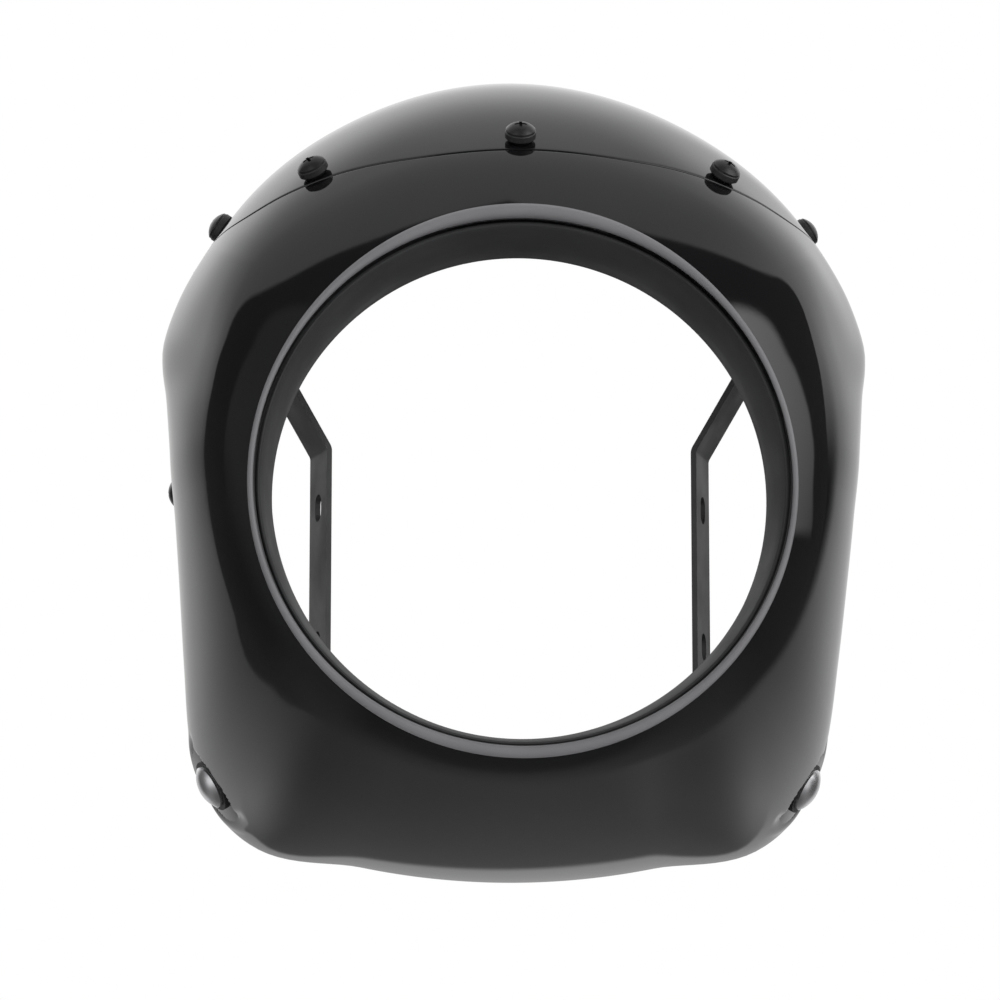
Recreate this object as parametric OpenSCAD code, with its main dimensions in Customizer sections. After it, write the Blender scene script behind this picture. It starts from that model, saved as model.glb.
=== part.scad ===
// Headlight cowl for a motorcycle: a moulded shell round the lamp, a wrap-over
// windscreen screwed to its joggled edge, and two steel brackets behind it.
// Origin at the centre of the lamp opening on the front lip, front towards -Y.

/* [Lamp opening] */
// Radius of the straight bore that the lamp sits in
opening_r = 85; // [83:0.5:87]
// Length of the straight bore at the back of the tunnel
bore_len = 12; // [8:1:16]
// Radius at the mouth of the tapered tunnel
mouth_r = 88.6; // [88:0.1:89]
// Depth of the tunnel behind the front lip
tunnel_depth = 34; // [28:1:40]
// Radius of the ring line of the rolled lip
lip_r = 91.3; // [91:0.1:91.5]
// Radius of the roll of the lip
lip_roll = 1.65; // [1.5:0.05:1.8]

/* [Shell] */
// Wall of the moulded shell
wall = 3; // [2.5:0.1:3.6]
// Depth of the shell from the lip to the rear rim
depth = 150; // [142:1:160]
// Radius at which the shell leaves the lip
front_r = 92.6; // [92.4:0.1:92.8]
// Flare round the lip at the top
flare_top = 7.5; // [5:0.5:9]
// Flare round the lip at the bottom
flare_bottom = 3; // [2:0.5:5]
// Depth over which the flare eases out
flare_depth = 20; // [16:1:26]
// Reach of the shell from the lamp axis at the crown
crown_r = 172; // [168:0.5:176]
// Reach at the brow
brow_r = 161.5; // [159:0.5:164]
// Reach at the temple
temple_r = 146; // [144:0.5:148]
// Reach above the shoulder
upper_shoulder_r = 139.5; // [137.5:0.5:141.5]
// Reach at the shoulder
shoulder_r = 134; // [132:0.5:136]
// Reach below the shoulder
lower_shoulder_r = 128.3; // [127:0.1:130]
// Reach at the cheek
cheek_r = 123.6; // [122:0.1:125]
// Reach at the side
side_r = 119.8; // [118:0.1:122]
// Reach under the side
under_side_r = 120.6; // [119:0.1:122]
// Reach at the flank
flank_r = 126.3; // [124:0.1:128]
// Reach at the lower corner
corner_r = 140.4; // [139:0.1:142]
// Reach at the jaw
jaw_r = 140.8; // [139:0.1:142]
// Reach beside the chin
chin_side_r = 126; // [124:0.5:129]
// Reach at the chin
chin_r = 119.5; // [117:0.5:122]
// How far the shoulder swells out over that reach, where the shell is widest
bulge = 5.3; // [3:0.1:6]
// Depth at which the swelling of the shoulder starts
bulge_start = 30; // [24:1:36]
// How far the side closes in again towards the rear rim
side_taper = 6; // [3:0.5:8]
// Depth of the relief in the rear rim for the fork
relief = 8; // [4:1:12]

/* [Windscreen] */
// Thickness of the windscreen
screen_t = 3; // [2.4:0.1:3.4]
// Clearance under and in front of the windscreen
screen_clear = 0.3; // [0.2:0.05:0.5]
// Width of the seam between shell and windscreen, as an angle about the lamp axis
seam_gap_deg = 0.2; // [0.15:0.05:0.3]
// Depth of the seam behind the lip at the crown
seam_crown = 19.9; // [18:0.1:21]
// How far the crown of the windscreen reaches past the shell
screen_reach = 8; // [0:0.5:12]
// Angle at which the windscreen ends on the side
screen_end = 88; // [86:0.5:89]
// Thickness of the edge that is left under the windscreen
flange_t = 2.7; // [2.4:0.1:3]
// Width of the joggled edge along the depth
flange_w = 11; // [10:0.5:13]

/* [Seam screws] */
// Radius of the screw head
screw_head_r = 5.1; // [4.6:0.1:5.3]
// Height of the domed screw head
screw_head_h = 2.8; // [2.2:0.1:3.2]
// Radius of the screw shank
screw_r = 2.5; // [2:0.1:2.6]
// Length of the screw under its head
screw_len = 17; // [16.5:0.5:20]
// Radius of the rubber collar
collar_r = 5.4; // [5.3:0.1:5.6]
// Height of the rubber collar above the windscreen
collar_h = 3.8; // [3.6:0.1:4.6]
// Radius of the sleeve of the collar in the windscreen
sleeve_r = 3.3; // [3.1:0.1:3.5]
// Clearance round a shank or sleeve
fit = 0.25; // [0.2:0.05:0.4]
// Angle of the first side screw from the top
screw_1_angle = 31.6; // [31:0.1:32.5]
// Depth of the first side screw
screw_1_depth = 37; // [36.5:0.5:38]
// Angle of the second side screw
screw_2_angle = 44; // [43.5:0.1:44.3]
// Depth of the second side screw
screw_2_depth = 84; // [82:0.5:86]
// Angle of the third side screw, which also holds the bracket
screw_3_angle = 49; // [48.8:0.1:49.2]
// Depth of the third side screw
screw_3_depth = 112; // [111:0.5:113]
// Angle of the last side screw
screw_4_angle = 79.3; // [78.8:0.1:79.6]
// Distance of the last side screw from the rear rim
screw_4_inset = 9; // [8.5:0.5:10]
// Depth of the middle screw
screw_0_depth = 25; // [24.5:0.5:26]
// Outer radius of the steel washers behind the shell
washer_r = 5; // [4.6:0.1:5.2]
// Thickness of the steel washers
washer_t = 1; // [0.8:0.1:1.2]
// Width across flats of the small nuts
nut_af = 8; // [7:0.5:8]
// Height of the small nuts
nut_h = 4; // [3.5:0.5:4.5]

/* [Corner bolts] */
// Distance of the bolt from the middle plane
corner_x = 105.7; // [105:0.1:106.2]
// Distance of the bolt from the rear rim
corner_inset = 17; // [16.5:0.5:18]
// Height of the bolt below the lamp axis
corner_z = 86; // [85.5:0.1:86.5]
// Radius of the flat pad
pad_r = 15; // [14:0.5:15.5]
// Thickness of the shell under the pad
pad_t = 3.4; // [3:0.1:3.6]
// Turn of the pad away from the middle plane, seen from the front
pad_turn = 121; // [119:0.5:123]
// Lean of the pad towards the front
pad_lean = 15; // [13:0.5:16]
// Radius of the domed head
dome_r = 8; // [7:0.5:9]
// Height of the domed head
dome_h = 4; // [3.5:0.1:5]
// Height of the straight rim under the dome
dome_rim = 1; // [0.6:0.1:1.4]
// Radius of the bolt shank
bolt_r = 3; // [2.8:0.1:3.2]
// Radius of the rubber washer
rubber_r = 9.6; // [9:0.2:10.4]
// Thickness of the rubber washer
rubber_t = 2; // [1.5:0.1:2.5]
// Radius of the steel washer behind the bracket
bolt_washer_r = 6; // [5.5:0.1:6.2]
// Thickness of that washer
bolt_washer_t = 1.2; // [1:0.1:1.5]
// Width across flats of the bolt nut
bolt_nut_af = 10; // [9:0.5:10]
// Height of the bolt nut
bolt_nut_h = 5; // [4.5:0.5:6]

/* [Brackets] */
// Thickness of the steel strip
strip_t = 2; // [1.5:0.1:2.5]
// Width of the steel strip
strip_w = 20; // [18:0.5:22]
// Toe angle of the upright part
toe = 17.5; // [16:0.5:19]
// Half the distance between the front edges of the uprights
upright_x = 64.6; // [64:0.1:66]
// Depth of the front edges behind the lip
upright_y = 107; // [106:0.5:108]
// Height of the upper bend above the lamp axis
upper_bend = 32.7; // [31:0.1:34]
// Height of the lower bend below the lamp axis
lower_bend = 52; // [50:0.5:54]
// Lean of the upper leg out of the upright
leg_angle = 31.3; // [30.5:0.1:32]
// Distance from the top hole down to the end of the upper leg, along the leg
leg_drop = 21.7; // [14:0.5:24]
// Height of the upper slot above the lamp axis
slot_z = 12; // [10:0.5:14]
// Distance between the two slots
slot_pitch = 50; // [48:0.5:52]
// Width of a slot
slot_w = 7; // [6:0.1:8]
// Length of a slot
slot_len = 10; // [9:0.5:12]
// Inner radius of the bends
bend_r = 3; // [2:0.5:4]
// Length of a tab from its hole to its bend
tab_reach = 11; // [10.5:0.5:13]

/* [Hidden] */
$fn = 48;

// Stations round the lamp axis, in degrees from the top
reach_at = [[0, crown_r], [25, brow_r], [46, temple_r], [56, upper_shoulder_r], [64, shoulder_r],
            [72, lower_shoulder_r], [80, cheek_r], [90, side_r], [101, under_side_r], [112, flank_r],
            [128, corner_r], [140, jaw_r], [155, chin_side_r], [180, chin_r]];
// Share of the swelling of the shoulder that each station takes
bulge_at = [[0, 0], [42, 0], [50, 0.3], [57, 0.75], [63, 1], [66, 0.8], [70, 0.34], [76, 0.06], [84, 0], [180, 0]];
// Depth at which the shell reaches its full width, as a share of the whole depth
crest_at = [[0, 1], [25, 0.813], [46, 0.533], [63, 0.56], [90, 0.613], [112, 0.813], [130, 1], [180, 1]];
// Roundness of the curve from the lip to the crest
round_at = [[0, 2.4], [25, 2.4], [45, 2.3], [60, 2.4], [80, 2.5], [105, 2.1], [128, 1.5], [140, 1.5],
            [155, 1.6], [180, 1.6]];
// Share of the side taper that each station takes
taper_at = [[0, 0], [25, 0], [46, 0.25], [63, 0.65], [90, 1], [112, 0.5], [130, 0], [180, 0]];
// Depth of the seam behind its depth at the crown, as a share of the whole depth
seam_at = [[0, 0], [16, 0.014], [30, 0.073], [38, 0.113], [43, 0.151], [46, 0.211], [48.5, 0.307],
           [50.5, 0.514], [54, 0.607], [62, 0.667], [72, 0.721], [80, 0.764], [92, 0.841]];
// The same for the end of the joggled edge
flange_at = [[0, 0], [20, 0.073], [32, 0.207], [42, 0.427], [50, 0.62], [60, 0.68], [75, 0.767], [88, 0.827]];

// Smooth curve through uneven stations, level at both ends
function knot(p, i) = (i == 0 || i == len(p) - 1) ? 0 : (p[i + 1][1] - p[i - 1][1]) / (p[i + 1][0] - p[i - 1][0]);
function span(p, x, i = 0) = (i >= len(p) - 2 || x < p[i + 1][0]) ? i : span(p, x, i + 1);
function along(p, x) =
    let (i = span(p, x), h = p[i + 1][0] - p[i][0], t = (x - p[i][0]) / h)
    (2 * t * t * t - 3 * t * t + 1) * p[i][1] + (t * t * t - 2 * t * t + t) * h * knot(p, i)
    + (3 * t * t - 2 * t * t * t) * p[i + 1][1] + (t * t * t - t * t) * h * knot(p, i + 1);
function ease(t) = let (u = min(max(t, 0), 1)) u * u * (3 - 2 * u);

// Radius of the outer skin at an angle and a depth: a short flare at the lip, a rounded rise to the
// crest, a swelling at the shoulder, and a gentle closing in behind the crest
function station(a) = [along(reach_at, abs(a)), depth * along(crest_at, abs(a)), along(round_at, abs(a)),
                       side_taper * along(taper_at, abs(a)),
                       flare_bottom + (flare_top - flare_bottom) * (1 + cos(a)) / 2,
                       bulge * along(bulge_at, abs(a))];
// Depth at which the skin leaves the roll of the lip
lip_y = 0.9;
function skin_r(s, y) =
    front_r + s[4] * (1 - pow(1 - min((y - lip_y) / flare_depth, 1), 2))
    + (s[0] - front_r - s[4]) * (1 - pow(1 - min((y - lip_y) / (s[1] - lip_y), 1), s[2]))
    + s[5] * ease((y - bulge_start) / (s[1] - bulge_start))
    - s[3] * pow(max(y - s[1], 0) / max(depth - s[1], 20), 2);
function polar(a, r, y) = [r * sin(a), y, r * cos(a)];
function skin(a, y) = polar(a, skin_r(station(a), y), y);
function skin_normal(a, y) =
    let (u = skin(a + 0.25, y) - skin(a - 0.25, y), v = skin(a, y + 0.25) - skin(a, y - 0.25), n = cross(u, v))
    n / norm(n);

// Lines on the skin, each a depth for an angle
function seam_y(a) = let (b = min(abs(a), 92)) seam_crown + depth * along(seam_at, b) + 1.2 * (abs(a) - b);
function rim_y(a) = let (b = abs(abs(a) - 108) / 26) depth - (b < 1 ? relief * (1 + cos(180 * b)) / 2 : 0);
function screen_rim_y(a) = rim_y(a) + screen_reach * pow(max(cos(a), 0), 2);
function flange_end_y(a) =
    abs(a) > 85 ? rim_y(a) : min(seam_crown + flange_w + depth * along(flange_at, abs(a)), rim_y(a));
function screen_edge_y(a) = seam_y(abs(a) + seam_gap_deg) + screen_clear;

// Angles of the sections: evenly round the shell, closer together where the seam turns
function both_sides(h) = concat([for (i = [len(h) - 1:-1:1]) -h[i]], h);
shell_angles = concat(both_sides(concat([for (a = [0:4:40]) a], [for (a = [43:3:85]) a],
                                        [for (a = [90:5:175]) a])), [180]);
screen_angles = both_sides(concat([for (a = [0:4:36]) a], [39, 42, 44], [for (a = [45.5:0.75:51]) a],
                                  [52.5, 55, 58], [for (a = [62:4:82]) a], [85, screen_end]));
room_angles = [for (a = screen_angles) abs(a) == screen_end ? sign(a) * (screen_end + seam_gap_deg) : a];

// Point at an angle and depth, set in by a distance along the normal
function under(a, y, d) = skin(a, y) - d * skin_normal(a, y);

// Closed solid through a row of sections with the same number of points
module loft(sections, closed = false) {
    n = len(sections);
    m = len(sections[0]);
    last = closed ? n - 1 : n - 2;
    sides = [for (i = [0:last], k = [0:m - 1])
             let (a = i * m + k, b = i * m + (k + 1) % m,
                  c = ((i + 1) % n) * m + (k + 1) % m, d = ((i + 1) % n) * m + k)
             each [[a, b, c], [a, c, d]]];
    caps = closed ? [] : [[for (k = [m - 1:-1:0]) k], [for (k = [0:m - 1]) (n - 1) * m + k]];
    polyhedron(points = [for (s = sections) each s], faces = concat(sides, caps), convexity = 8);
}

// Distance of the inner face behind the skin: the wall, and deeper where the edge steps down
// under the windscreen
function inset(a, y) =
    let (turn = abs(a) < screen_end ? seam_y(max(abs(a) - step_lead_deg, 0)) : 2 * depth)
    wall + (screen_t + screen_clear + flange_t - wall) * ease((y - turn + step_len + step_lead) / step_len);
step_lead_deg = 2;
step_lead = 5;
step_len = 9;

// Section of the shell, from the lip to the rear rim or to the end of the joggled edge
shell_rows = 13;
function shell_section(a) =
    let (rows = [for (i = [0:shell_rows]) lip_y + (flange_end_y(a) - lip_y) * pow(i / shell_rows, 1.4)])
    concat([for (y = rows) skin(a, y)], [for (i = [shell_rows:-1:0]) under(a, rows[i], inset(a, rows[i]))]);

screen_rows = 8;
function screen_section(a, y0, y1, outer, inner) =
    let (rows = [for (i = [0:screen_rows]) y0 + (y1 - y0) * pow(i / screen_rows, 1.25)])
    concat([for (y = rows) under(a, y, outer)], [for (i = [screen_rows:-1:0]) under(a, rows[i], inner)]);

// Frame on the skin: local Z is the outward normal
module on_skin(a, y, side = 1) {
    p = skin(a * side, y);
    n = skin_normal(a * side, y);
    on_plane(p, n) children();
}
module on_plane(p, n) {
    u = cross([0, 1, 0], n) / norm(cross([0, 1, 0], n));
    v = cross(n, u);
    multmatrix([[u[0], v[0], n[0], p[0]], [u[1], v[1], n[1], p[1]], [u[2], v[2], n[2], p[2]]]) children();
}

side_screws = [[screw_1_angle, screw_1_depth], [screw_2_angle, screw_2_depth],
               [screw_3_angle, screw_3_depth], [screw_4_angle, depth - screw_4_inset]];
flange_gap = 0.4;
under_flange = screen_t + screen_clear + flange_t + flange_gap;
function is_bracket_screw(i) = i == 2;

// Places its children at the side screws of one side; the bracket lies under the third
module at_side_screws(side) {
    for (i = [0:3]) on_skin(side_screws[i][0], side_screws[i][1], side) {
        if (is_bracket_screw(i)) translate([0, 0, -strip_t]) children(1);
        else children(1);
        children(0);
    }
}
module at_all_screws() {
    on_skin(0, screw_0_depth) children();
    for (side = [-1, 1], s = side_screws) on_skin(s[0], s[1], side) children();
}

// Small gap between seated pieces
seat = 0.05;
corner_n = [cos(pad_lean) * sin(pad_turn), -sin(pad_lean), cos(pad_lean) * cos(pad_turn)];
corner_p = [corner_x, depth - corner_inset, -corner_z];
module at_corner(side) {
    on_plane([side * corner_p[0], corner_p[1], corner_p[2]], [side * corner_n[0], corner_n[1], corner_n[2]]) children();
}

// Ring round the lamp: rolled lip, tapered tunnel and straight bore
module lamp_ring() {
    rotate([-90, 0, 0]) rotate_extrude($fn = 128) {
        translate([lip_r, lip_roll]) circle(r = lip_roll, $fn = 32);
        polygon([[mouth_r, 2.2], [opening_r, tunnel_depth - bore_len], [opening_r, tunnel_depth],
                 [opening_r + wall, tunnel_depth], [front_r - 0.2, 6], [front_r, 2.2]]);
    }
}

// Shell with its edge stepped down to make room for the windscreen
over = 8;
module shell() {
    difference() {
        loft([for (a = shell_angles) shell_section(a)], closed = true);
        loft([for (a = room_angles) screen_section(a, seam_y(a), screen_rim_y(a) + over, -over, screen_t + screen_clear)]);
    }
}

// Lengths of the tools that cut the rear rim and the holes
trim = 2 * crown_r;
hole_len = screw_len + over;
module cowl_body() {
    color([0.07, 0.07, 0.075]) difference() {
        union() {
            shell();
            lamp_ring();
            for (side = [-1, 1]) at_corner(side) translate([0, 0, -pad_t]) cylinder(r = pad_r + pad_t / 2, h = pad_t);
        }
        translate([-trim / 2, depth, -trim / 2]) cube(trim);
        at_all_screws() translate([0, 0, -hole_len]) {
            cylinder(r = screw_r + fit, h = 2 * hole_len);
            cylinder(r = washer_r + fit, h = hole_len - under_flange + seat);
        }
        for (side = [-1, 1]) at_corner(side) {
            cylinder(r = pad_r, h = hole_len);
            translate([0, 0, -hole_len]) cylinder(r = bolt_r + fit, h = 2 * hole_len);
        }
    }
}

module windscreen() {
    color([0.13, 0.13, 0.14]) difference() {
        loft([for (a = screen_angles) screen_section(a, screen_edge_y(a), screen_rim_y(a), 0, screen_t)]);
        at_all_screws() translate([0, 0, -hole_len / 2]) cylinder(r = sleeve_r + fit, h = hole_len);
    }
}

// Domed head with a cross recess, on a plain shank
module pan_screw() {
    difference() {
        union() {
            intersection() {
                cylinder(r = screw_head_r, h = screw_head_h);
                translate([0, 0, screw_head_h - 7]) sphere(r = 7);
            }
            translate([0, 0, -screw_len]) cylinder(r = screw_r, h = screw_len + 0.1, $fn = 32);
        }
        for (turn = [0, 90]) rotate([0, 0, turn]) translate([-2.1, -0.5, screw_head_h - 1.4]) cube([4.2, 1, 2]);
    }
}

// Rubber collar with a chamfered foot and a sleeve through the windscreen
module collar() {
    rotate_extrude($fn = 48) polygon([
        [screw_r + fit, -screen_t - screen_clear + 0.1], [sleeve_r, -screen_t - screen_clear + 0.1],
        [sleeve_r, 0.05], [sleeve_r + 0.5, 0.05], [collar_r, 1.5], [collar_r, collar_h - 0.4],
        [collar_r - 0.4, collar_h], [screw_r + fit, collar_h]]);
}

module flat_washer(r, hole, t) {
    difference() {
        cylinder(r = r, h = t);
        translate([0, 0, -1]) cylinder(r = hole, h = t + 2);
    }
}

module hex_nut(af, hole, h) {
    difference() {
        intersection() {
            cylinder(r = af / sqrt(3), h = h, $fn = 6);
            translate([0, 0, h / 2]) sphere(r = norm([af / 2 + 0.35, h / 2]), $fn = 48);
        }
        translate([0, 0, -1]) cylinder(r = hole, h = h + 2);
    }
}

module nothing() {}
module screw_in_place() { translate([0, 0, collar_h]) pan_screw(); }
module washer_in_place() {
    translate([0, 0, -under_flange - washer_t]) flat_washer(washer_r, screw_r + fit, washer_t);
}
module nut_in_place() {
    translate([0, 0, -under_flange - washer_t - nut_h]) hex_nut(nut_af, screw_r, nut_h);
}

module centre_screw() { color([0.1, 0.1, 0.1]) on_skin(0, screw_0_depth) screw_in_place(); }
module centre_collar() { color([0.05, 0.05, 0.05]) on_skin(0, screw_0_depth) collar(); }
module centre_screw_washer() { color([0.6, 0.6, 0.62]) on_skin(0, screw_0_depth) washer_in_place(); }
module centre_screw_nut() { color([0.6, 0.6, 0.62]) on_skin(0, screw_0_depth) nut_in_place(); }
module seam_screws(side) { color([0.1, 0.1, 0.1]) at_side_screws(side) { screw_in_place(); nothing(); } }
module seam_collars(side) { color([0.05, 0.05, 0.05]) at_side_screws(side) { collar(); nothing(); } }
module seam_washers(side) { color([0.6, 0.6, 0.62]) at_side_screws(side) { nothing(); washer_in_place(); } }
module seam_nuts(side) { color([0.6, 0.6, 0.62]) at_side_screws(side) { nothing(); nut_in_place(); } }

// Strip profile in the plane of its bends: centre line with rounded corners, then both faces
function turn_points(c, a0, a1, r) = [for (i = [0:6]) c + r * [cos(a0 + (a1 - a0) * i / 6), sin(a0 + (a1 - a0) * i / 6)]];
upright_n = [cos(toe), -sin(toe), 0];
upright_w = [sin(toe), cos(toe), 0];
function strip_point(a, b, c) = [upright_x, upright_y, 0] + a * upright_n + b * upright_w + [0, 0, c];
module upright_frame(z = 0) {
    multmatrix([[upright_n[0], upright_w[0], 0, upright_x],
                [upright_n[1], upright_w[1], 0, upright_y], [0, 0, 1, z]]) children();
}

// The bend lies on the outer side of the strip, so the inner face has the larger radius
bend_c = [strip_t + bend_r, upper_bend - (bend_r + strip_t) * tan(leg_angle / 2)];
leg_dir = [sin(leg_angle), cos(leg_angle)];
leg_out = [cos(leg_angle), -sin(leg_angle)];
leg_start = bend_c - (bend_r + strip_t) * leg_out;
top_n = skin_normal(screw_3_angle, screw_3_depth);
top_p = skin(screw_3_angle, screw_3_depth) - top_n * under_flange;
low_p = corner_p - corner_n * (pad_t + seat);
// The leg ends a set distance below the top hole
leg_len = ([(top_p - [upright_x, upright_y, 0]) * upright_n, top_p[2]] - leg_start) * leg_dir - leg_drop;
leg_end = leg_start + leg_dir * leg_len;
leg_back = leg_end + leg_out * strip_t;
upright_profile = concat(
    [[0, -lower_bend]], turn_points(bend_c, 180, 180 - leg_angle, bend_r + strip_t),
    [leg_end, leg_back], turn_points(bend_c, 180 - leg_angle, 180, bend_r), [[strip_t, -lower_bend]]);
// End sections of a bar: they lie a hair inside the piece that they run into
bar_inset = 0.02;
run_in = 0.6;
function strip_section(inner, outer) =
    let (e = bar_inset * (outer - inner) / strip_t, a = inner + e, b = outer - e, w = strip_w - bar_inset)
    [strip_point(b[0], bar_inset, b[1]), strip_point(b[0], w, b[1]),
     strip_point(a[0], w, a[1]), strip_point(a[0], bar_inset, a[1])];

// Flat bar between a lower and an upper end section
module ribbon(low, high) {
    polyhedron(points = concat(low, high),
               faces = [[0, 1, 2, 3], [7, 6, 5, 4], [5, 1, 0], [4, 5, 0], [6, 2, 1], [5, 6, 1],
                        [7, 3, 2], [6, 7, 2], [4, 0, 3], [7, 4, 3]]);
}

// Round tab with its outer face on a plane, square to the width of the strip
function tab_w(n) = let (w = upright_w - (upright_w * n) * n) w / norm(w);
module tab(p, n, reach, hole) {
    w = tab_w(n);
    d = cross(w, n);
    multmatrix([[d[0], w[0], n[0], p[0]], [d[1], w[1], n[1], p[1]], [d[2], w[2], n[2], p[2]]])
        translate([0, 0, -strip_t]) difference() {
            union() {
                cylinder(r = strip_w / 2, h = strip_t);
                translate([min(reach, 0), -strip_w / 2, 0]) cube([abs(reach), strip_w, strip_t]);
            }
            translate([0, 0, -1]) cylinder(r = hole, h = strip_t + 2);
        }
}
function tab_section(p, n, reach) =
    let (w = tab_w(n), c = p + (reach - sign(reach) * run_in) * cross(w, n), h = strip_w / 2 - bar_inset,
         a = n * bar_inset, b = n * (strip_t - bar_inset))
    [c - w * h - a, c + w * h - a, c + w * h - b, c - w * h - b];

module bracket() {
    difference() {
        union() {
            upright_frame() translate([0, strip_w, 0]) rotate([90, 0, 0]) linear_extrude(strip_w) polygon(upright_profile);
            tab(top_p, top_n, tab_reach, screw_r + fit);
            tab(low_p, corner_n, -tab_reach, bolt_r + fit);
            ribbon(strip_section(leg_end - leg_dir * run_in, leg_back - leg_dir * run_in),
                   tab_section(top_p, top_n, tab_reach));
            ribbon(tab_section(low_p, corner_n, -tab_reach),
                   strip_section([0, run_in - lower_bend], [strip_t, run_in - lower_bend]));
        }
        for (z = [slot_z, slot_z - slot_pitch]) upright_frame(z) translate([-3, strip_w / 2, 0]) rotate([0, 90, 0]) {
            for (e = [-1, 1]) translate([e * (slot_len - slot_w) / 2, 0, 0]) cylinder(r = slot_w / 2, h = strip_t + 6);
            translate([-(slot_len - slot_w) / 2, -slot_w / 2, 0]) cube([slot_len - slot_w, slot_w, strip_t + 6]);
        }
    }
}

// Radius of the ball whose cap sits on the rim
dome_ball = (pow(dome_r, 2) + pow(dome_h - dome_rim, 2)) / (2 * (dome_h - dome_rim));
bolt_len = rubber_t + pad_t + strip_t + bolt_washer_t + bolt_nut_h + 2;
module corner_bolt(side) {
    color([0.85, 0.85, 0.87]) at_corner(side) translate([0, 0, rubber_t + 2 * seat]) {
        intersection() {
            cylinder(r = dome_r, h = dome_h);
            translate([0, 0, dome_h - dome_ball]) sphere(r = dome_ball, $fn = 64);
        }
        translate([0, 0, -bolt_len]) cylinder(r = bolt_r, h = bolt_len + 0.1, $fn = 32);
    }
}
module rubber_washer(side) {
    color([0.05, 0.05, 0.05]) at_corner(side) translate([0, 0, seat]) flat_washer(rubber_r, bolt_r + fit, rubber_t);
}
module corner_washer(side) {
    color([0.6, 0.6, 0.62]) at_corner(side) translate([0, 0, -pad_t - strip_t - bolt_washer_t - 2 * seat])
        flat_washer(bolt_washer_r, bolt_r + fit, bolt_washer_t);
}
module corner_nut(side) {
    color([0.6, 0.6, 0.62]) at_corner(side)
        translate([0, 0, -pad_t - strip_t - bolt_washer_t - 3 * seat - bolt_nut_h]) hex_nut(bolt_nut_af, bolt_r, bolt_nut_h);
}

cowl_body();
windscreen();
centre_screw();
seam_screws(-1);  // left_seam_screws
seam_screws(1);  // right_seam_screws
centre_collar();
seam_collars(-1);  // left_seam_collars
seam_collars(1);  // right_seam_collars
centre_screw_washer();
seam_washers(-1);  // left_seam_washers
seam_washers(1);  // right_seam_washers
centre_screw_nut();
seam_nuts(-1);  // left_seam_nuts
seam_nuts(1);  // right_seam_nuts
color([0.08, 0.08, 0.08]) mirror([1, 0, 0]) bracket();  // left_bracket
color([0.08, 0.08, 0.08]) bracket();  // right_bracket
corner_bolt(-1);  // left_corner_bolt
corner_bolt(1);  // right_corner_bolt
rubber_washer(-1);  // left_rubber_washer
rubber_washer(1);  // right_rubber_washer
corner_washer(-1);  // left_corner_washer
corner_washer(1);  // right_corner_washer
corner_nut(-1);  // left_corner_nut
corner_nut(1);  // right_corner_nut
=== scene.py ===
"""Motorcycle headlight cowl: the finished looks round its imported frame.

Metres in Blender, millimetres in the formulas. Front towards -Y, +Z up, the origin at the
middle of the lamp opening on the front lip. The left half is the one at -X.
"""

import bpy
import numpy as np
from mathutils import Matrix


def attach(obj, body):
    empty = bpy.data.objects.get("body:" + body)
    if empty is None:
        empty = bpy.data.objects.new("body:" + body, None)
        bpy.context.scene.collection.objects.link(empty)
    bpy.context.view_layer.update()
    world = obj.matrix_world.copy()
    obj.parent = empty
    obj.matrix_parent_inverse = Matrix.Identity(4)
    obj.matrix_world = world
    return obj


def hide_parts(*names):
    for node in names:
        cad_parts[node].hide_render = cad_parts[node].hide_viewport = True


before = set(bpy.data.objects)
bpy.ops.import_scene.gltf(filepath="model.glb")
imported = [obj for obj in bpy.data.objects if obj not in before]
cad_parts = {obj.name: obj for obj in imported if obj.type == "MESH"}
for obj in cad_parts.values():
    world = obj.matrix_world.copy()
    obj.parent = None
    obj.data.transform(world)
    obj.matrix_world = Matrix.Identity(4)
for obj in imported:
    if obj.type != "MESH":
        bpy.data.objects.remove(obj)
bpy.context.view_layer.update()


# ---------------------------------------------------------------- moulded shell
# One black moulding: a round lamp ring that swells into shoulders, cheeks and chin.
# Injection-moulded and polished to a high gloss; its upper edge is joggled 3.3 mm
# inwards to carry the windscreen, and two flat pads at the lower corners take the mounting bolts.

WALL = 3.0
DEPTH = 150.0
FRONT_R, LIP_Y = 92.6, 0.9
FLARE_TOP, FLARE_BOTTOM, FLARE_DEPTH = 7.5, 3.0, 20.0
SIDE_TAPER, RIM_RELIEF = 6.0, 8.0
REACH = [[0, 172], [25, 161.5], [46, 146], [56, 139.5], [64, 134], [72, 128.3], [80, 123.6], [90, 119.8],
         [101, 120.6], [112, 126.3], [128, 140.4], [140, 140.8], [155, 126], [180, 119.5]]
BULGE, BULGE_START = 5.3, 30.0
BULGE_SHARE = [[0, 0], [42, 0], [50, 0.3], [57, 0.75], [63, 1], [66, 0.8], [70, 0.34], [76, 0.06], [84, 0],
               [180, 0]]
CREST = [[0, 1], [25, 0.813], [46, 0.533], [63, 0.56], [90, 0.613], [112, 0.813], [130, 1], [180, 1]]
ROUNDNESS = [[0, 2.4], [25, 2.4], [45, 2.3], [60, 2.4], [80, 2.5], [105, 2.1], [128, 1.5], [140, 1.5], [155, 1.6],
             [180, 1.6]]
TAPER = [[0, 0], [25, 0], [46, 0.25], [63, 0.65], [90, 1], [112, 0.5], [130, 0], [180, 0]]
SEAM_CROWN = 19.9
SEAM = [[0, 0], [16, 0.014], [30, 0.073], [38, 0.113], [43, 0.151], [46, 0.211], [48.5, 0.307], [50.5, 0.514],
        [54, 0.607], [62, 0.667], [72, 0.721], [80, 0.764], [92, 0.841]]
FLANGE_END = [[0, 0], [20, 0.073], [32, 0.207], [42, 0.427], [50, 0.62], [60, 0.68], [75, 0.767], [88, 0.827]]
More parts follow.
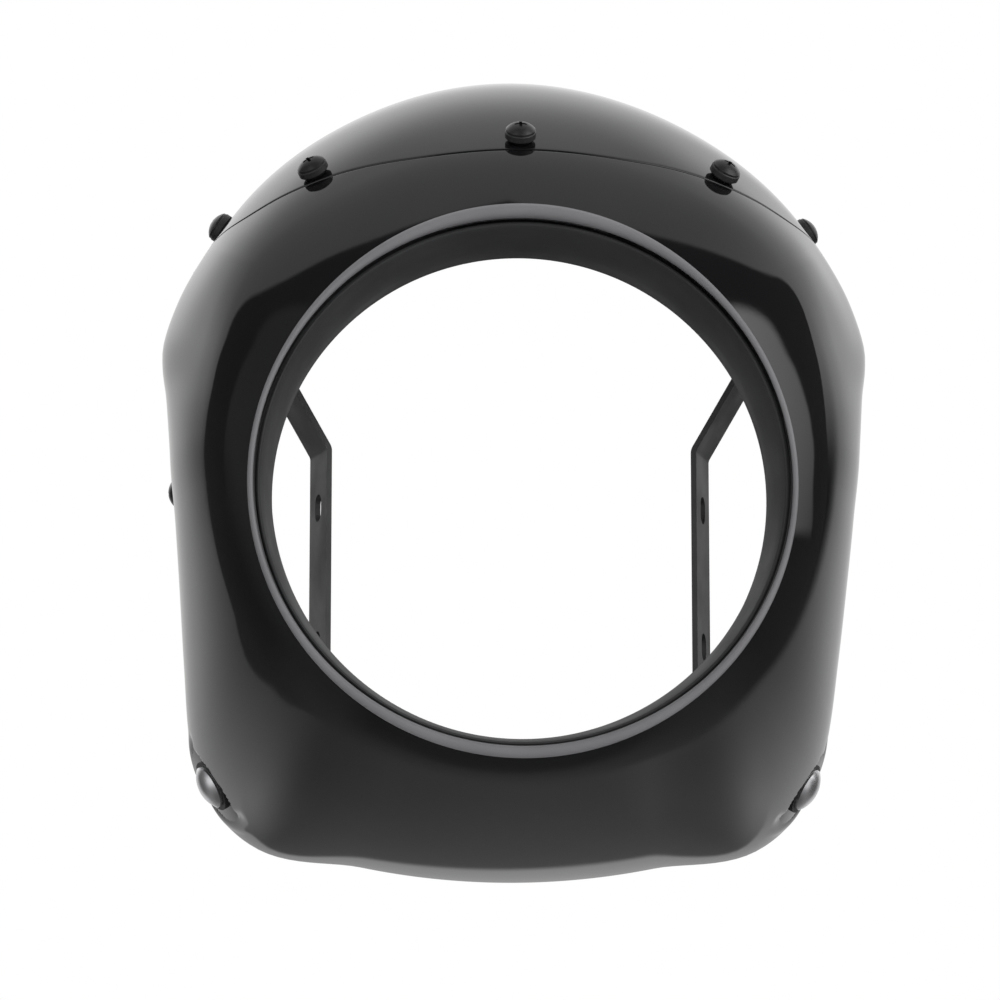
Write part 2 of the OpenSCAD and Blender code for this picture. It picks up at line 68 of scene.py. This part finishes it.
FLANGE_W, FLANGE_T, SCREEN_T, SCREEN_CLEAR, SCREEN_END, SEAM_GAP = 11.0, 2.7, 3.0, 0.3, 88.0, 0.2


def along(stations, x):
    """Cubic Hermite curve through uneven stations; each inner slope is the chord of its
    two neighbours, and the end slopes are level."""
    at, value = np.array(stations, float).T
    slope = np.zeros_like(at)
    slope[1:-1] = (value[2:] - value[:-2]) / (at[2:] - at[:-2])
    i = np.clip(np.searchsorted(at, x, side="right") - 1, 0, len(at) - 2)
    h = at[i + 1] - at[i]
    t = (x - at[i]) / h
    return ((2 * t**3 - 3 * t**2 + 1) * value[i] + (t**3 - 2 * t**2 + t) * h * slope[i]
            + (3 * t**2 - 2 * t**3) * value[i + 1] + (t**3 - t**2) * h * slope[i + 1])


def shell_radius(angle, y):
    """Lip radius, plus a parabola flare, plus the rise to full reach 1-(1-y/crest)^roundness,
    plus a smoothstep swelling of the shoulder, less a parabola taper behind the crest."""
    b = np.abs(angle)
    crest = DEPTH * along(CREST, b)
    swell = np.clip((y - BULGE_START) / (crest - BULGE_START), 0, 1)
    flare = FLARE_BOTTOM + (FLARE_TOP - FLARE_BOTTOM) * (1 + np.cos(np.radians(angle))) / 2
    rise = 1 - (1 - np.minimum((y - LIP_Y) / (crest - LIP_Y), 1)) ** along(ROUNDNESS, b)
    return (FRONT_R + flare * (1 - (1 - np.minimum((y - LIP_Y) / FLARE_DEPTH, 1)) ** 2)
            + (along(REACH, b) - FRONT_R - flare) * rise
            + BULGE * along(BULGE_SHARE, b) * swell * swell * (3 - 2 * swell)
            - SIDE_TAPER * along(TAPER, b) * (np.maximum(y - crest, 0) / np.maximum(DEPTH - crest, 20)) ** 2)


def shell_skin(angle, y):
    """Polar surface about the lamp axis: x = r sin angle, z = r cos angle."""
    r, t = shell_radius(angle, y), np.radians(angle)
    return np.stack([r * np.sin(t), y + 0 * r, r * np.cos(t)], -1)


def shell_normal(angle, y):
    """Cross product of the two central differences of the skin."""
    n = np.cross(shell_skin(angle + 0.25, y) - shell_skin(angle - 0.25, y),
                 shell_skin(angle, y + 0.25) - shell_skin(angle, y - 0.25))
    return n / np.linalg.norm(n, axis=-1, keepdims=True)


def beneath(angle, y, depth):
    """Skin point set in by a depth along the normal."""
    angle, y, depth = np.broadcast_arrays(angle, y, depth)
    return shell_skin(angle, y) - depth[..., None] * shell_normal(angle, y)


def seam_y(angle):
    b = np.minimum(np.abs(angle), 92)
    return SEAM_CROWN + DEPTH * along(SEAM, b)


def rim_y(angle):
    """Rear rim: full depth less a raised cosine relief centred 108 degrees round."""
    b = np.abs(np.abs(angle) - 108) / 26
    return DEPTH - np.where(b < 1, RIM_RELIEF * (1 + np.cos(np.pi * np.minimum(b, 1))) / 2, 0)


def flange_end_y(angle):
    b = np.abs(angle)
    end = SEAM_CROWN + FLANGE_W + DEPTH * along(FLANGE_END, np.minimum(b, 88))
    return np.where(b > 85, rim_y(angle), np.minimum(end, rim_y(angle)))


def lofted(points, closed):
    """Quads between the rows of an (n, m, 3) grid whose rows are closed rings."""
    n, m = points.shape[:2]
    i, k = np.meshgrid(np.arange(n if closed else n - 1), np.arange(m), indexing="ij")
    j, l = (i + 1) % n, (k + 1) % m
    return points.reshape(-1, 3), np.stack([i * m + k, i * m + l, j * m + l, j * m + k], -1).reshape(-1, 4)


def solid(name, shells, sharp=32):
    """One mesh from closed (points in mm, quads, finish number) shells. Each is turned
    outwards by the sign of its volume, the sum of its corner triple products."""
    every, faces, numbers, start = [], [], [], 0
    for points, quads, number in shells:
        a, b, c, d = (points[quads[:, k]] for k in range(4))
        volume = np.einsum("ij,ij->i", a, np.cross(b, c) + np.cross(c, d)).sum()
        quads = quads if volume > 0 else quads[:, ::-1]
        every.append(points)
        faces.append(quads + start)
        numbers.append(np.broadcast_to(number, len(quads)))
        start += len(points)
    every, faces, numbers = np.concatenate(every), np.concatenate(faces), np.concatenate(numbers)
    mesh = bpy.data.meshes.new(name)
    mesh.vertices.add(len(every))
    mesh.vertices.foreach_set("co", (every * 0.001).ravel())
    mesh.loops.add(faces.size)
    mesh.loops.foreach_set("vertex_index", faces.ravel().astype(np.int32))
    mesh.polygons.add(len(faces))
    mesh.polygons.foreach_set("loop_start", np.arange(0, faces.size, 4, dtype=np.int32))
    mesh.polygons.foreach_set("material_index", numbers.astype(np.int32))
    mesh.update(calc_edges=True)
    mesh.validate()
    mesh.polygons.foreach_set("use_smooth", np.ones(len(mesh.polygons), bool))
    mesh.set_sharp_from_angle(angle=np.radians(sharp))
    piece = bpy.data.objects.new(name, mesh)
    bpy.context.collection.objects.link(piece)
    return piece


def finish(name, colour, shade, rough, rough_spread, grain, grain_height, metal=0.0):
    """Principled surface: one noise drifts between two near shades, a second moves the
    roughness, and a fine one lifts the surface by grain_height metres."""
    material = bpy.data.materials.new(name)
    material.use_nodes = True
    tree = material.node_tree
    surface = tree.nodes["Principled BSDF"]
    where = tree.nodes.new("ShaderNodeTexCoord")
    drift, wear, grains = (tree.nodes.new("ShaderNodeTexNoise") for _ in range(3))
    drift.inputs["Scale"].default_value = 22
    wear.inputs["Scale"].default_value = 60
    wear.inputs["Detail"].default_value = 4
    grains.inputs["Scale"].default_value = grain
    ramp = tree.nodes.new("ShaderNodeValToRGB")
    ramp.color_ramp.elements[0].position, ramp.color_ramp.elements[1].position = 0.35, 0.65
    ramp.color_ramp.elements[0].color = (*colour, 1)
    ramp.color_ramp.elements[1].color = (*shade, 1)
    spread = tree.nodes.new("ShaderNodeMapRange")
    spread.inputs["From Min"].default_value, spread.inputs["From Max"].default_value = 0.3, 0.7
    spread.inputs["To Min"].default_value = rough
    spread.inputs["To Max"].default_value = rough + rough_spread
    bump = tree.nodes.new("ShaderNodeBump")
    bump.inputs["Strength"].default_value = 1.0
    bump.inputs["Distance"].default_value = grain_height
    for noise in (drift, wear, grains):
        tree.links.new(where.outputs["Object"], noise.inputs["Vector"])
    tree.links.new(drift.outputs["Fac"], ramp.inputs["Fac"])
    tree.links.new(ramp.outputs["Color"], surface.inputs["Base Color"])
    tree.links.new(wear.outputs["Fac"], spread.inputs["Value"])
    tree.links.new(spread.outputs["Result"], surface.inputs["Roughness"])
    tree.links.new(grains.outputs["Fac"], bump.inputs["Height"])
    tree.links.new(bump.outputs["Normal"], surface.inputs["Normal"])
    surface.inputs["Metallic"].default_value = metal
    return material


gloss_black = finish("gloss_black", (0.0035, 0.0035, 0.004), (0.0048, 0.0048, 0.0052), 0.035, 0.02, 420, 0.000002)
satin_black = finish("satin_black", (0.027, 0.027, 0.028), (0.033, 0.033, 0.034), 0.5, 0.1, 900, 0.00002)
satin_black.node_tree.nodes["Principled BSDF"].inputs["Specular IOR Level"].default_value = 0.08
lip_grey = finish("lip_grey", (0.11, 0.108, 0.114), (0.128, 0.126, 0.132), 0.42, 0.12, 700, 0.00001)
inner_black = finish("inner_black", (0.02, 0.02, 0.021), (0.028, 0.028, 0.029), 0.32, 0.12, 800, 0.00002)

EDGE = 0.45
SKIN_ROWS, REAR_ROWS, INNER_ROWS = 52, 48, 48
OVERLAP_FROM, OVERLAP_TO = 0.69, 0.72
THICKENING, THICKENING_START = 9.0, 14.0
PAD_AT, PAD_R = np.array([105.7, 133.0, -86.0]), 15.0
PAD_TURN, PAD_LEAN = np.radians(121.0), np.radians(15.0)
PAD_AXIS = np.array([np.cos(PAD_LEAN) * np.sin(PAD_TURN), -np.sin(PAD_LEAN), np.cos(PAD_LEAN) * np.cos(PAD_TURN)])
PAD_SUNK, PAD_SNAP, PAD_REACH = 0.15, 0.6, 25.0
RUN_OUT, LOW_STEP, STEP_FADE = 7.0, 0.9, 1.4


def shell_section(angle):
    """Ring of points at each angle: out along the skin, over the edge, down the 3.3 mm step,
    along the flange, round its end, and back along the inner wall."""
    a = angle[:, None]
    seamed = np.abs(a) <= SCREEN_END + SEAM_GAP
    edge = np.where(seamed, np.minimum(seam_y(a), rim_y(a)), rim_y(a))
    end = np.where(seamed, np.maximum(flange_end_y(a), edge), rim_y(a))
    step = np.where(seamed, SCREEN_T + SCREEN_CLEAR, EDGE + 0.1)
    guide = np.minimum(seam_y(a), rim_y(a)) - EDGE
    front = LIP_Y + (guide - LIP_Y) * np.linspace(0, OVERLAP_TO, SKIN_ROWS)[None] ** 1.15
    middle = LIP_Y + (guide - LIP_Y) * OVERLAP_FROM
    skin = np.concatenate([front, middle + (edge - EDGE - middle) * np.linspace(0, 1, REAR_ROWS)[None]], 1)
    turn = np.linspace(0, np.pi / 2, 5)[None, 1:]
    drop = np.linspace(0, 1, 4)[None, 1:]
    run = np.linspace(0, 1, 12)[None, 1:]
    inner = LIP_Y + (end - LIP_Y) * np.linspace(1, 0, INNER_ROWS)[None] ** 1.3
    joggle = np.where(np.abs(a) < SCREEN_END, seam_y(np.maximum(np.abs(a) - 2, 0)), 2 * DEPTH)
    t = np.clip((inner - joggle + THICKENING_START) / THICKENING, 0, 1)
    inset = WALL + (SCREEN_T + SCREEN_CLEAR + FLANGE_T - WALL) * t * t * (3 - 2 * t)
    y = [skin, edge - EDGE + EDGE * np.sin(turn), edge + 0 * drop, edge + (end - edge) * run, inner]
    depth = [0 * skin, EDGE * (1 - np.cos(turn)) + 0 * a, EDGE + (step - EDGE) * drop,
             np.where(seamed, step + 0 * run, step + (WALL - 0.4 - step) * run), inset]
    grid = beneath(a, np.concatenate(y, 1), np.concatenate(depth, 1))
    return pressed_flat(grid, skin.shape[1] + turn.size)


def pressed_flat(grid, skin_count):
    """Skin points within the pad's radius of its axis move along that axis to just below its
    plane, and the points next to the pad's edge move onto the edge, so that its wall stands
    upright. Round the pad, heights over its plane are scaled by a smoothstep of the distance
    from it; the scaling fades out, by a smoothstep too, where the wall is taller."""
    for side in (-1, 1):
        at, axis = PAD_AT * [side, 1, 1], PAD_AXIS * [side, 1, 1]
        outer = grid[:, :skin_count]
        height = (outer - at) @ axis
        flat = outer - at - height[..., None] * axis
        across = np.linalg.norm(flat, axis=-1)
        near = (across < PAD_R + RUN_OUT) & (np.abs(height) < PAD_REACH)
        inside = near & (across < PAD_R)
        at_edge = near & (np.abs(across - PAD_R) < PAD_SNAP)
        away = np.clip((across - PAD_R) / RUN_OUT, 0, 1)
        tall = np.clip((height - LOW_STEP) / STEP_FADE, 0, 1)
        ramp, wall = away * away * (3 - 2 * away), tall * tall * (3 - 2 * tall)
        height = np.where(inside, np.minimum(height, -PAD_SUNK), height * (wall + (1 - wall) * ramp))
        across = np.where(at_edge, PAD_R, across) / np.maximum(across, 1e-6)
        moved = at + flat * across[..., None] + height[..., None] * axis
        outer[near] = moved[near]
    return grid


half = np.concatenate([np.arange(0, 40, 1.25), np.arange(40, 58, 0.5), np.arange(58, 88, 1.25), [87.9, 88.199]])
lower = np.concatenate([[88.201, 88.6], np.arange(90, 120, 1.25), np.arange(120, 138, 0.3),
                        np.arange(138.5, 180, 1.5)])
turns = np.concatenate([half, lower])
shell_angles = np.concatenate([-turns[:0:-1], turns, [180.0]])
shell_grid = shell_section(shell_angles)
shell_rows = shell_grid.shape[1]
shell_points, shell_quads = lofted(shell_grid, closed=True)
shell_place = np.tile(np.arange(shell_rows), len(shell_angles))
shell_finish = np.where(shell_place >= shell_rows - INNER_ROWS, 3, 0)

# Lamp ring: the straight bore that takes the lamp, a tapered tunnel, a dark groove and a rolled
# bead, which is thickest at the top: a circle whose inner and outer radius follow powers of
# the cosine of the angle
around = np.radians(np.linspace(0, 360, 300, endpoint=False))[:, None]
upwards, downwards = np.maximum(np.cos(around), 0), np.maximum(-np.cos(around), 0)
bead_out = 93.0 + 3.5 * upwards**4 + 1.3 * downwards**2
bead_in = 91.0 + 0.4 * upwards**4 - 0.8 * downwards**2
bead = (bead_out - bead_in) / 2
roll = np.radians(np.linspace(-108, 170, 30))[None]
tunnel = np.array([[85.0, 34.0], [85.0, 33.6], [85.0, 28.0], [85.0, 22.0], [86.2, 15.4], [87.4, 8.8],
                   [88.6, 3.9], [88.9, 3.3], [89.4, 2.9], [89.9, 3.4], [90.2, 5.2], [90.7, 5.2]])
wall_end = np.array([[91.6, 8.0], [88.0, 33.6], [87.6, 34.0]])
ring_r = np.concatenate([tunnel[:, 0] + 0 * around, bead_in + bead * (1 + np.sin(roll)),
                         wall_end[:, 0] + 0 * around], 1)
ring_y = np.concatenate([tunnel[:, 1] + 0 * around, bead * (1 - np.cos(roll)), wall_end[:, 1] + 0 * around], 1)
ring_grid = np.stack([ring_r * np.sin(around), ring_y, ring_r * np.cos(around)], -1)
ring_points, ring_quads = lofted(ring_grid, closed=True)
ring_place = np.tile(np.arange(ring_r.shape[1]), len(around))
groove = len(tunnel) - 1
ring_finish = np.select([ring_place < groove, ring_place == groove, ring_place < groove + roll.size], [1, 0, 2], 0)


def turned(profile, at, axis, count=96):
    """Profile of (radius, height) points turned round an axis through a point."""
    axis = axis / np.linalg.norm(axis)
    u = np.cross([0, 1, 0], axis)
    u /= np.linalg.norm(u)
    v = np.cross(axis, u)
    profile = np.array(profile, float)
    t = np.linspace(0, 2 * np.pi, count, endpoint=False)[:, None, None]
    r, h = profile[None, :, :1], profile[None, :, 1:]
    return np.asarray(at) + r * (u * np.cos(t) + v * np.sin(t)) + h * axis


bosses = []
for side in (-1, 1):
    boss = turned([[0.01, 0.0], [16.3, 0.0], [16.6, -0.1], [16.7, -0.4], [16.7, -3.2], [16.5, -3.4], [0.01, -3.4]],
                  PAD_AT * [side, 1, 1], PAD_AXIS * [side, 1, 1])
    boss[..., 1] = np.minimum(boss[..., 1], DEPTH)
    bosses.append((*lofted(boss, closed=True), 0))

cowl = solid("cowl_shell", [(shell_points, shell_quads, shell_finish), (ring_points, ring_quads, ring_finish),
                            *bosses])
for material in (gloss_black, satin_black, lip_grey, inner_black):
    cowl.data.materials.append(material)
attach(cowl, "root")
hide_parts("cowl_body")


# ---------------------------------------------------------------- windscreen
# A dark thermoformed sheet, 3 mm thick, that wraps over the top of the shell.
# Its front edge butts against the shell along the seam and its underside lies on the flange.

SCREEN_REACH = 8.0


def screen_section(angle):
    """Ring of points at each angle: over the rounded front edge, along the skin and over the
    rear edge, then the same line back 3 mm deeper. The end sections shrink to mid-thickness."""
    a = angle[:, None]
    front = seam_y(np.abs(a) + SEAM_GAP) + SCREEN_CLEAR
    rear = rim_y(a) + SCREEN_REACH * np.maximum(np.cos(np.radians(a)), 0) ** 2
    soft, turn = 0.5, np.linspace(0, np.pi / 2, 5)[None]
    run = np.linspace(0, 1, 90)[None, 1:-1] ** 1.15
    round_y, round_depth = soft * (1 - np.sin(turn)), soft * (1 - np.cos(turn))
    straight = front + soft + (rear - front - 2 * soft) * run
    y = np.concatenate([front + round_y[:, ::-1], straight, rear - round_y], 1)
    depth = np.concatenate([round_depth[:, ::-1], 0 * run, round_depth], 1) + 0 * a
    y, depth = np.concatenate([y, y[:, ::-1]], 1), np.concatenate([depth, SCREEN_T - depth[:, ::-1]], 1)
    keep = np.clip((SCREEN_END - np.abs(a)) / 0.2, 0.02, 1)
    return beneath(a, y, SCREEN_T / 2 + (depth - SCREEN_T / 2) * keep)


screen_half = np.concatenate([half[half < 87.5], [87.6, 87.8, 87.9, 88.0]])
screen_angles = np.concatenate([-screen_half[:0:-1], screen_half])
screen_grid = screen_section(screen_angles)
screen_points, screen_quads = lofted(screen_grid, closed=False)
count = screen_grid.shape[1]
k = np.arange(count // 2 - 1)
cap = np.stack([k, k + 1, count - 2 - k, count - 1 - k], -1)
caps = [cap[:, ::-1], cap + (len(screen_angles) - 1) * count]
screen_black = finish("screen_black", (0.004, 0.004, 0.0045), (0.0055, 0.0055, 0.006), 0.05, 0.025, 380, 0.0000025)
windscreen = solid("windscreen_sheet", [(screen_points, np.concatenate([screen_quads, *caps]), 0)])
windscreen.data.materials.append(screen_black)
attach(windscreen, "root")
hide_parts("windscreen")


# ---------------------------------------------------------------- seam fasteners
# Nine black oxide pan-head screws with cross recesses stand on rubber collars along the
# seam; steel washers and nuts close them behind the flange. All come from the frame.


def dress(nodes, material):
    """The frame's own solids keep their shape and get a finish."""
    for name in nodes:
        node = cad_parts[name]
        node.data.materials.clear()
        node.data.materials.append(material)


black_oxide = finish("black_oxide", (0.012, 0.012, 0.012), (0.02, 0.02, 0.02), 0.28, 0.14, 1500, 0.00001, metal=0.3)
collar_rubber = finish("collar_rubber", (0.011, 0.011, 0.011), (0.018, 0.018, 0.018), 0.45, 0.15, 1100, 0.00002)
zinc_steel = finish("zinc_steel", (0.3, 0.3, 0.31), (0.4, 0.4, 0.41), 0.28, 0.15, 1300, 0.00001, metal=1.0)
dress(["centre_screw", "left_seam_screws", "right_seam_screws"], black_oxide)
dress(["centre_collar", "left_seam_collars", "right_seam_collars"], collar_rubber)
dress(["centre_screw_washer", "left_seam_washers", "right_seam_washers", "centre_screw_nut", "left_seam_nuts",
       "right_seam_nuts"], zinc_steel)


# ---------------------------------------------------------------- brackets
# Two steel strips, 20 mm by 2 mm, bent so that their slotted middles stand upright beside
# the lamp; powder coated black. The top tab hangs on a seam screw, the lower on the pad.

powder_black = finish("powder_black", (0.035, 0.035, 0.036), (0.05, 0.05, 0.051), 0.42, 0.14, 1600, 0.00003)
dress(["left_bracket", "right_bracket"], powder_black)


# ---------------------------------------------------------------- corner bolts
# A domed chromed bolt with a rubber washer holds each lower corner to its bracket; a steel
# washer and a nut close it inside the shell.

polished_chrome = finish("polished_chrome", (0.82, 0.82, 0.84), (0.9, 0.9, 0.92), 0.24, 0.06, 700, 0.000003,
                         metal=1.0)
dress(["left_corner_bolt", "right_corner_bolt"], polished_chrome)
dress(["left_rubber_washer", "right_rubber_washer"], collar_rubber)
dress(["left_corner_washer", "right_corner_washer", "left_corner_nut", "right_corner_nut"], zinc_steel)


# ---------------------------------------------------------------- camera
# A long lens a little to the left and below the lamp axis, looking up 11 degrees.

turn, tilt = np.radians(-2.0), np.radians(-11.0)
backward = np.array([np.sin(turn) * np.cos(tilt), -np.cos(turn) * np.cos(tilt), np.sin(tilt)])
rightward = np.array([np.cos(turn), np.sin(turn), 0.0])
upward = np.cross(backward, rightward)
camera = bpy.data.objects.new("camera", bpy.data.cameras.new("camera"))
camera.data.sensor_width = 36.0
camera.data.lens = 36.0 * 4.752
stand = 1.6 * backward - 0.007912 * rightward - 0.006902 * upward
camera.matrix_world = Matrix([[*row] for row in np.stack([rightward, upward, backward, stand], 1)] + [[0, 0, 0, 1]])
camera.data.clip_start, camera.data.clip_end = 0.05, 50
bpy.context.collection.objects.link(camera)
bpy.context.scene.camera = camera


# ---------------------------------------------------------------- studio
# A white tent: bright behind and above, dark towards the camera, with a tall strip light on
# the right and two soft boxes high at the sides. The floor lies below the picture.

floor_mesh = bpy.data.meshes.new("floor")
floor_mesh.from_pydata([(-4, -4, -0.45), (4, -4, -0.45), (4, 4, -0.45), (-4, 4, -0.45)], [], [(0, 1, 2, 3)])
floor = bpy.data.objects.new("floor", floor_mesh)
bpy.context.collection.objects.link(floor)
floor.visible_glossy = False
floor.data.materials.append(finish("floor_paper", (0.93, 0.93, 0.93), (0.95, 0.95, 0.95), 0.7, 0.1, 300, 0.00002))

world = bpy.data.worlds.new("tent")
bpy.context.scene.world = world
world.use_nodes = True
tent = world.node_tree
tent.nodes.clear()


def step_between(value, low, high):
    """Smooth step from 0 at low to 1 at high."""
    node = tent.nodes.new("ShaderNodeMapRange")
    node.interpolation_type = "SMOOTHSTEP"
    node.inputs["From Min"].default_value, node.inputs["From Max"].default_value = low, high
    tent.links.new(value, node.inputs["Value"])
    return node.outputs["Result"]


def combine(operation, *values):
    """Math node on two values; further ones are joined on pair by pair."""
    joined = values[0]
    for value in values[1:]:
        node = tent.nodes.new("ShaderNodeMath")
        node.operation = operation
        for socket, term in zip(node.inputs, (joined, value)):
            if isinstance(term, (int, float)):
                socket.default_value = term
            else:
                tent.links.new(term, socket)
        joined = node.outputs["Value"]
    return joined


def blend(share, low, high):
    """low where the share is 0, high where it is 1: high times share plus low times the rest."""
    rest = combine("SUBTRACT", 1, share)
    return combine("ADD", combine("MULTIPLY", high, share), combine("MULTIPLY", low, rest))


def edge_line(value, corners):
    """Smooth line through (azimuth, elevation) corners in degrees; returns radians."""
    turned_to = combine("ADD", combine("MULTIPLY", value, 0.5 / np.pi), 0.5)
    line = tent.nodes.new("ShaderNodeFloatCurve")
    points = line.mapping.curves[0].points
    corners = [((a + 180) / 360, (e + 90) / 180) for a, e in corners]
    points[0].location, points[1].location = corners[0], corners[-1]
    for corner in corners[1:-1]:
        points.new(*corner)
    line.mapping.update()
    tent.links.new(turned_to, line.inputs["Value"])
    return combine("MULTIPLY", combine("SUBTRACT", line.outputs["Value"], 0.5), np.pi)


direction = tent.nodes.new("ShaderNodeTexCoord")
parts = tent.nodes.new("ShaderNodeSeparateXYZ")
tent.links.new(direction.outputs["Generated"], parts.inputs["Vector"])
azimuth = combine("ARCTAN2", parts.outputs["X"], parts.outputs["Y"])
rise = combine("ARCSINE", parts.outputs["Z"], 0)
wide = combine("ABSOLUTE", azimuth, 0)

# The tent is open towards the camera: its edge runs up from the table on the left, over the
# camera and down again on the right
tent_edge = edge_line(azimuth, [(-180, 73.5), (-148, 66.5), (-130, 57.5), (-115, 48), (-100, 41.5), (-90, 38),
                                (-80, 33), (-72, 27), (-66, 20), (-57, 13), (-50, 7), (-46, -2), (-42, -45),
                                (53, -45), (55, -5), (58, 5), (66, 11), (71, 17), (73, 27), (77, 36), (84, 41),
                                (100, 47), (115, 54), (130, 60), (148, 66.5), (180, 73.5)])
inside = step_between(combine("SUBTRACT", rise, tent_edge), -0.018, 0.018)

# Two soft boxes high at the sides, fading into the wall above and below
left_box_level, right_box_level, between_level, high_wall_level, low_wall_level = 0.85, 0.79, 0.33, 0.73, 0.64
between = step_between(azimuth, -1.32, -0.56)
left_box = combine("MULTIPLY", between, step_between(azimuth, 0.0, -0.76), left_box_level)
right_box = combine("MULTIPLY", step_between(azimuth, 0.28, 0.70), step_between(azimuth, 1.16, 0.57),
                    right_box_level)
boxes = combine("ADD", left_box, right_box, combine("MULTIPLY", between, between_level))
band = combine("MULTIPLY", step_between(rise, 0.09, 0.49), step_between(rise, 1.10, 0.71))
low_wall = combine("MULTIPLY", step_between(wide, 1.09, 0.47), low_wall_level)
wall = blend(step_between(rise, 0.49, 0.09), high_wall_level, low_wall)
tent_wall = combine("ADD", wall, combine("MULTIPLY", band, boxes))

# A tall strip light at the right, and a grey card at the left, both in front of the edge
strip_slope, strip_start, card_level = 2.46, -2.75, 0.15
strip_edge = edge_line(wide, [(-180, -45), (0, -45), (60, -30), (70, 0), (77, 7), (84, 16), (92, 25), (100, 32),
                              (115, 40.5), (130, 44), (180, 50)])
before = step_between(combine("SUBTRACT", strip_edge, rise), -0.02, 0.02)
strip_level = combine("ADD", combine("MULTIPLY", azimuth, strip_slope), strip_start)
strip = combine("MULTIPLY", step_between(azimuth, 1.05, 1.22), step_between(azimuth, 2.7, 2.2),
                step_between(rise, -0.016, 0.037), strip_level)
card = combine("MULTIPLY", step_between(azimuth, -1.25, -1.61), step_between(azimuth, -2.9, -2.4), card_level)

# Two low boxes beside the camera and a low strip round the sides, which the front of the
# shell doesn't mirror; the sides, the screws and the bolts do
front_box_level, low_strip_level, dark_level = 0.8, 0.55, 0.085
front_boxes = combine("MULTIPLY", step_between(wide, 2.27, 2.5), step_between(rise, 0.75, 0.5),
                      step_between(rise, -0.6, -0.3), front_box_level)
low_strip = combine("MULTIPLY", step_between(wide, 1.53, 1.68), step_between(rise, 0.0, -0.08), low_strip_level)
fronts = combine("MULTIPLY", combine("MAXIMUM", front_boxes, low_strip), step_between(wide, 2.98, 2.8))
open_front = combine("ADD", fronts, combine("MULTIPLY", before, combine("ADD", strip, card)), dark_level)

# The table's far edge is sharp straight behind and lost in its sweep at the sides
table_level, table_fall = 0.177, 0.089
aside = step_between(wide, 0.20, 0.55)
ground = blend(aside, step_between(rise, -0.285, -0.32), step_between(rise, -0.36, -0.66))
table = combine("SUBTRACT", table_level, combine("MULTIPLY", step_between(rise, -0.77, -0.935), table_fall))
tent_light = blend(ground, blend(inside, open_front, tent_wall), table)

# Reflections see the tent; the camera sees plain white
paths = tent.nodes.new("ShaderNodeLightPath")
shown = combine("MAXIMUM", paths.outputs["Is Camera Ray"], paths.outputs["Is Transmission Ray"])
level = tent.nodes.new("ShaderNodeMix")
level.data_type = "FLOAT"
tent.links.new(shown, level.inputs[0])
tent.links.new(tent_light, level.inputs[2])
level.inputs[3].default_value = 1.0
backdrop = tent.nodes.new("ShaderNodeBackground")
backdrop.inputs["Color"].default_value = (1, 1, 1, 1)
tent.links.new(level.outputs[0], backdrop.inputs["Strength"])
tent.links.new(backdrop.outputs["Background"], tent.nodes.new("ShaderNodeOutputWorld").inputs["Surface"])


def soft_light(name, at, towards, size, watts):
    lamp = bpy.data.lights.new(name, "AREA")
    lamp.shape, lamp.size, lamp.energy = "SQUARE", size, watts
    holder = bpy.data.objects.new(name, lamp)
    bpy.context.collection.objects.link(holder)
    z = np.array(at, float) - np.array(towards, float)
    z /= np.linalg.norm(z)
    x = np.cross([0.0, 0.0, 1.0], z) if abs(z[2]) < 0.95 else np.array([1.0, 0.0, 0.0])
    x /= np.linalg.norm(x)
    y = np.cross(z, x)
    holder.matrix_world = Matrix([[*row] for row in np.stack([x, y, z, at], 1)] + [[0, 0, 0, 1]])
    holder.visible_glossy = False
    return holder


soft_light("front_fill", (0.3, -1.6, 0.7), (0, 0.05, 0), 1.0, 17)
soft_light("top_fill", (0, 0.1, 1.6), (0, 0.05, 0), 1.4, 12)

bpy.context.scene.view_settings.view_transform = "Standard"
